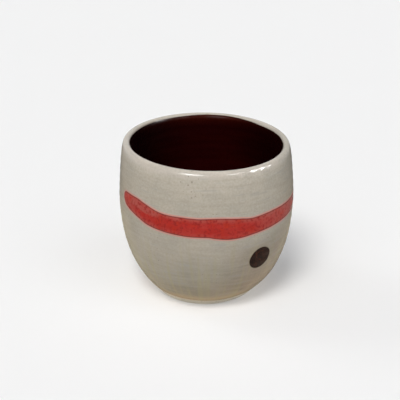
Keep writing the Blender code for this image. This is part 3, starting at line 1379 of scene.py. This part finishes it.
@dataclass(frozen=True)
class BrushBand:
    """Red band brushed once round the belly, from a rounded start on the left."""

    brush_width: float = 0.0100
    margin: float = 0.0009
    proud: float = 0.00004
    depth: float = 0.0003
    column_step: float = 1.2
    rows: int = 30
    wobble: float = 0.00010
    # Share, waves round the mug and seed of each ripple, the seed moved by 1 for either edge
    edge_ripples: tuple[tuple[float, float, float], ...] = ((1.0, 34.0, 4.0), (0.5, 90.0, 7.0))
    # Angle in degrees, and rise and width in brush widths, along the stroke
    stations: tuple[tuple[float, float, float], ...] = (
        (-67.4, 0.55, 0.22),
        (-65.2, 0.53, 0.64),
        (-61.0, 0.50, 0.79),
        (-55.0, 0.45, 0.91),
        (-48.4, 0.37, 1.03),
        (-40.0, 0.22, 1.04),
        (-28.4, 0.08, 0.98),
        (-12.4, 0.03, 1.02),
        (0.0, 0.035, 1.05),
        (6.2, 0.00, 1.13),
        (13.8, -0.06, 1.17),
        (21.7, -0.09, 1.10),
        (30.0, -0.09, 0.95),
        (44.7, -0.02, 0.92),
        (67.0, 0.01, 0.81),
        (110.0, 0.04, 0.78),
        (160.0, 0.09, 0.82),
        (205.0, 0.13, 0.70),
        (230.0, 0.16, 0.50),
        (242.0, 0.18, 0.12),
    )
    # Angles along the stroke where the brush fills out, runs dry and lifts, and is pressed less
    filling: tuple[float, float] = (-64.0, -42.0)
    spending: tuple[float, float] = (14.0, 62.0)
    lifting: tuple[float, float] = (15.0, 50.0)
    easing: tuple[float, float] = (-42.0, -20.0)
    # Angles where the glaze comes to lie thick over the stroke's upper side
    veiling: tuple[float, float] = (-45.0, -20.0)
    # Shares of the stroke's width where its pressed lower edge begins and ends
    lower_edge: tuple[float, float] = (0.34, 0.02)

    def columns(self) -> list[Vector]:
        """Angle, rise and width along the stroke, on a smooth curve through the stations."""
        stops = [Vector(station) for station in self.stations]
        guide = [stops[0]] + stops + [stops[-1]]
        found = [stops[0]]
        for before, first, second, after in zip(guide, guide[1:], guide[2:], guide[3:]):
            out = first + (second - before) / 6
            into = second - (after - first) / 6
            count = 1 + max(2, round((second.x - first.x) / self.column_step))
            found += interpolate_bezier(first, out, into, second, count)[1:]
        return found

    def edges(self, line: WallLine, column: Vector) -> tuple[float, float]:
        """Heights of the stroke's two edges at a column.

        Args:
            line: Wall line.
            column: Angle, rise and width.

        Returns:
            Heights of the upper and the lower edge above the table.
        """
        turn = math.radians(column.x)
        found = []
        for side in (1.0, -1.0):
            uneven = add_ripples(turn, self.edge_ripples, side)
            uneven *= self.wobble * min(1.0, column.z)
            rise = (column.y + side * column.z / 2) * self.brush_width
            found.append(line.belly_height + rise + uneven)
        return found[0], found[1]

    def outline(self, line: WallLine, columns: list[Vector]) -> kdtree.KDTree:
        """Search tree of points along the stroke's edge, laid out flat.

        Args:
            line: Wall line.
            columns: Angle, rise and width along the stroke.

        Returns:
            The tree, balanced.
        """
        to_length = math.radians(line.belly_radius)
        points = []
        for column in columns:
            points += [(column.x * to_length, height, 0.0) for height in self.edges(line, column)]
        for column in (columns[0], columns[-1]):
            top, bottom = self.edges(line, column)
            heights = [bottom + (top - bottom) * share for share in (0.0, 0.25, 0.5, 0.75, 1.0)]
            points += [(column.x * to_length, height, 0.0) for height in heights]
        tree = kdtree.KDTree(len(points))
        for i, point in enumerate(points):
            tree.insert(point, i)
        tree.balance()
        return tree

    def build(
        self, line: WallLine, hands: PotterHands, finish: BrushedRed, glaze: PaleGlaze
    ) -> bpy.types.Object:
        """Lay the stroke on the wall, mark it for its finish and dress it.

        Args:
            line: Wall line.
            hands: The potter's unevenness.
            finish: Red stain.
            glaze: Pale glaze that it fades into.

        Returns:
            The piece.
        """
        columns = self.columns()
        last = len(columns) - 1
        outline = self.outline(line, columns)
        spread = math.degrees(self.margin / line.belly_radius)
        to_length = math.radians(line.belly_radius)
        shape = bmesh.new()
        bmesh.ops.create_grid(shape, x_segments=last, y_segments=self.rows, size=0.5)
        from_edge, along, across, load = (
            shape.verts.layers.float.new(mark.value)
            for mark in (Mark.FROM_EDGE, Mark.ALONG, Mark.ACROSS, Mark.LOAD)
        )
        for vert in shape.verts:
            index = round((vert.co.x + 0.5) * last)
            column = columns[index]
            past = spread * ((index == last) - (index == 0))
            top, bottom = self.edges(line, column)
            middle, half = (top + bottom) / 2, (top - bottom) / 2
            height = middle + 2.0 * vert.co.y * (half + self.margin)
            gap = outline.find(((column.x + past) * to_length, height, 0.0))[2]
            inside = past == 0 and bottom < height < top
            vert[from_edge] = (gap if inside else -gap) / MM
            vert[along] = column.x * to_length / MM
            vert[across] = (height - middle) / MM
            vert[load] = self.load(column.x, (height - bottom) / (top - bottom))
            vert.co = lay_on_wall(line, column.x + past, height, self.proud)
        bmesh.ops.recalc_face_normals(shape, faces=shape.faces)
        keep_rim_sharp(shape)
        hands.settle(shape, line)
        material = finish.material(glaze)
        piece = finish_piece("red_brush_band", shape, material, "red_band")
        sink_into_coat(piece, self.depth)
        return piece

    def load(self, angle: float, upper_share: float) -> float:
        """How much stain lies at a place of the stroke.

        Args:
            angle: Angle round the mug in degrees.
            upper_share: 0 at the lower edge, 1 at the upper edge.

        Returns:
            0 where the stain is thin, 1 where it is thick.
        """
        filled = ease(angle, *self.filling)
        spent = ease(angle, *self.spending)
        veiled = ease(angle, *self.veiling)
        lifted = ease(angle, *self.lifting)
        along = 0.30 + 0.70 * filled * (1.0 - 0.85 * spent)
        start = 0.46 + 0.20 * veiled - 0.10 * lifted
        end = min(start + 0.10 + 0.30 * veiled, 0.98)
        upper = 0.80 * ease(upper_share, start, end)
        pressed = 0.75 - 0.45 * ease(angle, *self.easing) + 0.25 * lifted
        lower = pressed * ease(upper_share, *self.lower_edge)
        return along * (1.0 - upper) * (1.0 - lower)


@dataclass(frozen=True)
class BrownDot:
    """Brown dot dabbed on below the band, right of the front."""

    diameter: float = 0.0130
    angle: float = 38.5
    drop: float = 0.0210
    margin: float = 0.0008
    proud: float = 0.00004
    depth: float = 0.0003
    rings: int = 16
    spokes: int = 96
    wobble: float = 0.00012
    ripples: tuple[tuple[float, float, float], ...] = ((1.0, 7.0, 2.2),)
    squash: float = 0.965
    low: float = 0.00018

    def build(
        self, line: WallLine, hands: PotterHands, finish: DabbedBrown, glaze: PaleGlaze
    ) -> bpy.types.Object:
        """Lay the dot on the wall, mark it for its finish and dress it.

        Args:
            line: Wall line.
            hands: The potter's unevenness.
            finish: Brown oxide.
            glaze: Pale glaze that it lies in.

        Returns:
            The piece.
        """
        reach = self.diameter / 2 + self.margin
        height = line.belly_height - self.drop
        spoke = [Vector((reach * i / self.rings, 0.0)) for i in range(self.rings + 1)]
        shape = turned(spoke, self.spokes)
        edge = shape.verts.layers.float.new(Mark.FROM_EDGE.value)
        for vert in shape.verts:
            sideways, upward, _ = vert.co
            turn = math.atan2(upward, sideways)
            rim = self.diameter / 2 + self.wobble * add_ripples(turn, self.ripples)
            vert[edge] = (rim - math.hypot(sideways, upward)) / MM
            normal = line.place(height + upward / 2)[1]
            spot = height + (self.squash * upward - self.low) * normal.x
            turned_by = math.degrees(sideways / line.place(spot)[0].x)
            vert.co = lay_on_wall(line, self.angle + turned_by, spot, self.proud)
        middle = lay_on_wall(line, self.angle, height, 0.0)
        outward = Vector((middle.x, middle.y, 0.0))
        if sum(face.normal.dot(outward) for face in shape.faces if face.normal.length > 0) < 0:
            bmesh.ops.reverse_faces(shape, faces=shape.faces)
        keep_rim_sharp(shape)
        hands.settle(shape, line)
        material = finish.material(glaze)
        piece = finish_piece("brown_dot", shape, material, "brown_dot")
        sink_into_coat(piece, self.depth)
        return piece


def toward(azimuth: float, elevation: float) -> Vector:
    """Direction away from the mug, azimuth in degrees from the front toward +X."""
    turn, lift = math.radians(azimuth), math.radians(elevation)
    out = math.cos(lift)
    return Vector((math.sin(turn) * out, -math.cos(turn) * out, math.sin(lift)))


def hang_lamp(lamp: bpy.types.Light, place: Vector, direction: Vector) -> bpy.types.Object:
    """Hang a lamp that shines back along a direction.

    Args:
        lamp: Lamp that is hung.
        place: Where it hangs.
        direction: From what it lights toward the lamp.

    Returns:
        The lamp's object.
    """
    holder = add_object(lamp.name, lamp)
    turn = direction.to_track_quat("Z", "Y").to_matrix().to_4x4()
    holder.matrix_world = Matrix.Translation(place) @ turn
    return holder


# Lamp tints that add up to white on the floor, and leave a slightly cool shadow
WARM, COOL = (1.03, 1.0, 0.95), (0.97, 1.0, 1.05)


@dataclass(frozen=True)
class Sunlamp:
    """Far soft lamp that lights the floor and the mug evenly."""

    name: str
    azimuth: float
    elevation: float
    strength: float
    softness: float
    casts_shadow: bool = True
    tint: tuple[float, float, float] = (1.0, 1.0, 1.0)

    def place(self) -> None:
        """Add the lamp to the scene, unseen in gloss."""
        lamp = bpy.data.lights.new(self.name, "SUN")
        lamp.energy = self.strength
        lamp.color = self.tint
        lamp.angle = math.radians(self.softness)
        lamp.use_shadow = self.casts_shadow
        direction = toward(self.azimuth, self.elevation)
        hang_lamp(lamp, direction, direction).visible_glossy = False


@dataclass(frozen=True)
class Softbox:
    """Small lamp panel that only shows as a glint in the glaze."""

    name: str
    azimuth: float
    elevation: float
    width: float
    height: float
    power: float
    distance: float = 0.9

    def place(self, target: Vector) -> None:
        """Add the panel, facing a target.

        Args:
            target: Point that it faces.
        """
        lamp = bpy.data.lights.new(self.name, "AREA")
        lamp.shape = "RECTANGLE"
        lamp.size = self.width
        lamp.size_y = self.height
        lamp.energy = self.power
        direction = toward(self.azimuth, self.elevation)
        holder = hang_lamp(lamp, target + self.distance * direction, direction)
        holder.visible_diffuse = False
        holder.visible_transmission = False


@dataclass(frozen=True)
class Studio:
    """Pale floor, white surroundings, plain soft lamps and the camera of the photograph."""

    floor_reach: float = 6.0
    floor_sink: float = 0.00005
    paper: str = "f2f2f2"
    # Share of the cloth's fade and colour: pale close round the mug, darker further out
    cloth_tones: tuple[tuple[float, str], ...] = (
        (0.40, "a79d86"),
        (0.50, "75706a"),
        (0.65, "4a4744"),
    )
    cloth_fade: float = 0.20
    cloth_reach: float = 0.45
    cloth_facets: int = 64
    cloth_centre: tuple[float, float, float] = (-0.010, 0.050, 0.0)
    ambient: float = 0.05
    camera_distance: float = 0.600
    camera_lift: float = 24.38
    look_height: float = 0.0405
    pixels_per_metre: float = 1915.7
    centre_px: tuple[float, float] = (206.4, 211.9)
    lamps: tuple[Sunlamp, ...] = (
        Sunlamp("key_from_upper_left", -17.0, 57.0, 1.50, 22.0, tint=WARM),
        Sunlamp("low_from_left", -112.0, 40.0, 0.32, 22.0),
        Sunlamp("overhead_even", -110.0, 72.0, 0.20, 40.0, casts_shadow=False),
        Sunlamp("fill_from_left", -34.0, 52.0, 0.73, 40.0, casts_shadow=False, tint=COOL),
        Sunlamp("fill_from_right", 50.0, 52.0, 1.00, 40.0, casts_shadow=False, tint=COOL),
        Sunlamp("bounce_from_left", -120.0, -40.0, 1.05, 40.0, casts_shadow=False),
        Sunlamp("bounce_from_right", 122.0, -40.0, 0.62, 40.0, casts_shadow=False),
    )
    boxes: tuple[Softbox, ...] = (
        Softbox("glint_left", -17.0, 17.0, 0.42, 0.03, 4.2),
        Softbox("glint_middle", 36.0, 16.0, 0.20, 0.03, 1.9),
        Softbox("glint_right", 66.0, 17.0, 0.26, 0.035, 3.0),
        Softbox("glint_far_right", 77.0, 15.5, 0.12, 0.06, 8.5),
    )

    def background_share(self, tree: bpy.types.NodeTree) -> bpy.types.Node:
        """1 for rays that see the background itself: from the camera, and in gloss and glass.

        Args:
            tree: Node tree of the world.

        Returns:
            The node that gives the share.
        """
        rays = add_node(tree, "LightPath").outputs
        seen = rays["Is Camera Ray"]
        for name in ("Is Glossy Ray", "Is Transmission Ray"):
            seen = add_node(tree, "Math", (seen, rays[name]), operation="MAXIMUM")
        return seen

    def lay_floor(self) -> None:
        """Lay the pale floor, which keeps the mug's shadow."""
        shape = bmesh.new()
        bmesh.ops.create_grid(shape, x_segments=1, y_segments=1, size=self.floor_reach)
        bmesh.ops.translate(shape, verts=shape.verts, vec=(0.0, 0.0, -self.floor_sink))
        material, _, shader = new_material("matt_white_paper_sheet")
        feed(shader, {"Base Color": self.paper, "Roughness": 1.0, "Specular IOR Level": 0.0})
        add_object("pale_floor", to_mesh("pale_floor", shape, material))

    def lay_cloth(self) -> None:
        """Lay a grey cloth on the floor that only gloss sees, so that glazes keep their depth.

        It is pale close round the mug, whose low edges mirror it, and darker further out.
        """
        shape = bmesh.new()
        bmesh.ops.create_circle(
            shape, cap_ends=True, segments=self.cloth_facets, radius=self.cloth_reach
        )
        material, tree, shader = new_material("grey_flag_cloth")
        place = add_node(tree, "TexCoord").outputs["Object"]
        away = add_node(tree, "VectorMath", (place, self.cloth_centre), operation="DISTANCE")
        share = add_node(tree, "MapRange", (away, 0.0, self.cloth_fade))
        tone = fill_ramp(add_node(tree, "ValToRGB", (share,)), self.cloth_tones)
        feed(shader, {"Base Color": tone, "Roughness": 1.0})
        cloth = add_object("dark_cloth", to_mesh("dark_cloth", shape, material))
        cloth.visible_camera = False
        cloth.visible_diffuse = False
        cloth.visible_transmission = False
        cloth.visible_shadow = False

    def light_world(self) -> None:
        """Light the mug softly from all round, and show a white background."""
        world = bpy.data.worlds.new("white_room")
        bpy.context.scene.world = world
        world.use_nodes = True
        tree = world.node_tree
        light = (self.ambient, self.ambient, self.ambient, 1.0)
        share = self.background_share(tree)
        tone = add_node(tree, "Mix", (share, light, self.paper), data_type="RGBA")
        feed(tree.nodes["Background"], {"Color": tone})

    def set_camera(self) -> None:
        """Put the camera where the photograph was taken from, with its framing."""
        lens = bpy.data.cameras.new("photo_camera")
        lens.sensor_width = SENSOR_WIDTH
        focal_px = self.pixels_per_metre * self.camera_distance
        lens.lens = focal_px * SENSOR_WIDTH / IMAGE_SIZE
        lens.shift_x = (IMAGE_SIZE / 2 - self.centre_px[0]) / IMAGE_SIZE
        lens.shift_y = (self.centre_px[1] - IMAGE_SIZE / 2) / IMAGE_SIZE
        lift = math.radians(self.camera_lift)
        camera = add_object("photo_camera", lens)
        spot = Vector((0.0, -math.cos(lift), math.sin(lift))) * self.camera_distance
        spot.z += self.look_height
        turn = Matrix.Rotation(math.pi / 2 - lift, 4, "X")
        camera.matrix_world = Matrix.Translation(spot) @ turn
        bpy.context.scene.camera = camera

    def set_up(self, line: WallLine) -> None:
        """Build the whole studio round the mug.

        Args:
            line: Wall line, for where the lip is.
        """
        self.lay_floor()
        self.lay_cloth()
        self.light_world()
        for lamp in self.lamps:
            lamp.place()
        for box in self.boxes:
            box.place(Vector((0.0, 0.0, line.mug_height)))
        self.set_camera()
        bpy.context.scene.view_settings.view_transform = "Standard"


def main() -> None:
    """Build the mug's pieces in order, then the studio."""
    logging.basicConfig(level=logging.INFO, format="%(name)s: %(message)s")
    line = WallLine()
    hands = PotterHands()
    glaze = PaleGlaze()
    pieces = (
        ThrownClay().build(line, hands, BareStoneware()),
        LinerCoat().build(line, hands, LinerGlaze()),
        PaleCoat().build(line, hands, glaze),
        BrushBand().build(line, hands, BrushedRed(), glaze),
        BrownDot().build(line, hands, DabbedBrown(), glaze),
    )
    for piece in pieces:
        log.info("%s: %d faces", piece.name, len(piece.data.polygons))
    Studio().set_up(line)
    log.info("frame with %d nodes dressed", len(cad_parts))


if __name__ == "__main__":
    main()
